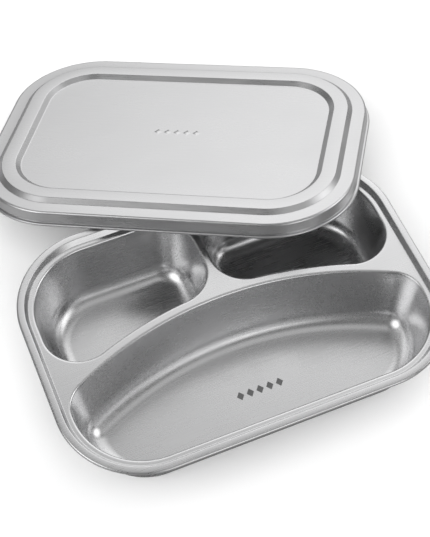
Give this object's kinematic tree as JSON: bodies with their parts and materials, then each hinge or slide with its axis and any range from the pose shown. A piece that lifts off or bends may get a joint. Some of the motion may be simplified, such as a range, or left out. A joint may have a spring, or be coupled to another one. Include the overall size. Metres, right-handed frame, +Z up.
{
  "type": "bento lunch box",
  "caption": "Rectangular pressed-steel lunch tray with rounded corners, a curved divider between a crescent well and small wells, and a press-on lid with a raised ring, leaning on its rim.",
  "frame": {"origin": "middle of the flat underside of the tray's crescent well, on the table plane", "axes": "+Z up out of the wells, +X along the tray's long side, +Y from the crescent well towards the two small wells and the leaning lid"},
  "size_m": [0.2673, 0.334, 0.0682],
  "materials": {
    "tray_steel": "satin",
    "lid_steel": "satin"
  },
  "bodies": {
    "tray_body": {"tray": "tray_steel"},
    "lid_body": {"lid": "lid_steel"}
  },
  "joints": [
    {"name": "lid_lift", "type": "slide", "parent": "tray_body", "child": "lid_body", "axis": [0, 0, 1], "range_m": [0, 0.12]}
  ]
}
